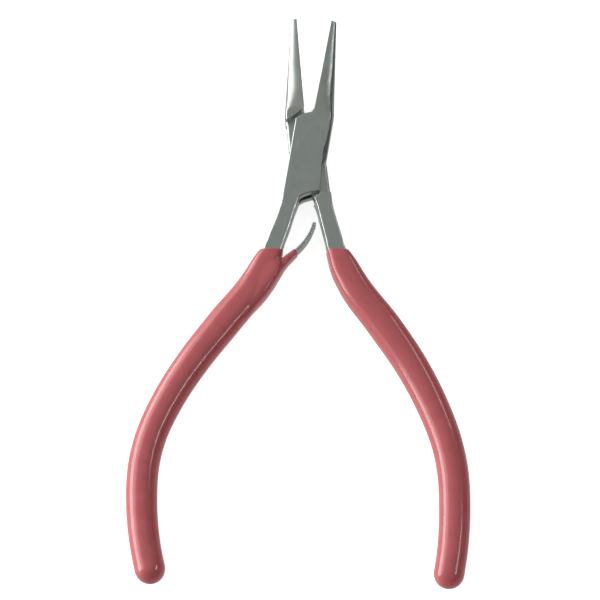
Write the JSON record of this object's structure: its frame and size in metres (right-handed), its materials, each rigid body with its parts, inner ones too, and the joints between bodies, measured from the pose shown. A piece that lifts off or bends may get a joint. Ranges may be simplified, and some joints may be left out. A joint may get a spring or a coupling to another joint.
{
  "type": "round nose pliers",
  "caption": "Round nose pliers: smooth conical jaws on a box joint, a leaf spring that opens them, and bowed handles with dipped vinyl grips.",
  "frame": {"origin": "on the pivot axis, at the flush lower end of the pivot rivet, in the plane that the pliers lie on", "axes": "+Y towards the jaw tips, +Z along the pivot axis away from the table, +X to the side of the box half's jaw"},
  "size_m": [0.0799, 0.1408, 0.007],
  "materials": {
    "steel": "satin",
    "spring_steel": "satin",
    "red_vinyl": "gloss"
  },
  "bodies": {
    "box_side": {"box_half": "steel", "pivot_rivet": "steel", "spring_rivet": "spring_steel", "grip_left": "red_vinyl"},
    "through_side": {"through_half": "steel", "grip_right": "red_vinyl"},
    "spring_leaf": {"leaf_spring": "spring_steel"}
  },
  "joints": [
    {"name": "pivot", "type": "hinge", "parent": "box_side", "child": "through_side", "pos_m": [0, 0, 0.0035], "axis": [0, 0, 1], "range_deg": [-14.2, 6], "stiffness_Nm_per_rad": 1.6},
    {"name": "spring_flex", "type": "hinge", "parent": "box_side", "child": "spring_leaf", "pos_m": [-0.00104, -0.02597, 0.0035], "axis": [0, 0, 1], "range_deg": [-16, 37.5], "deforming": ["leaf_spring"]}
  ],
  "couplings": [
    {"joint": "spring_flex", "follows": "pivot", "ratio": -2.6}
  ]
}
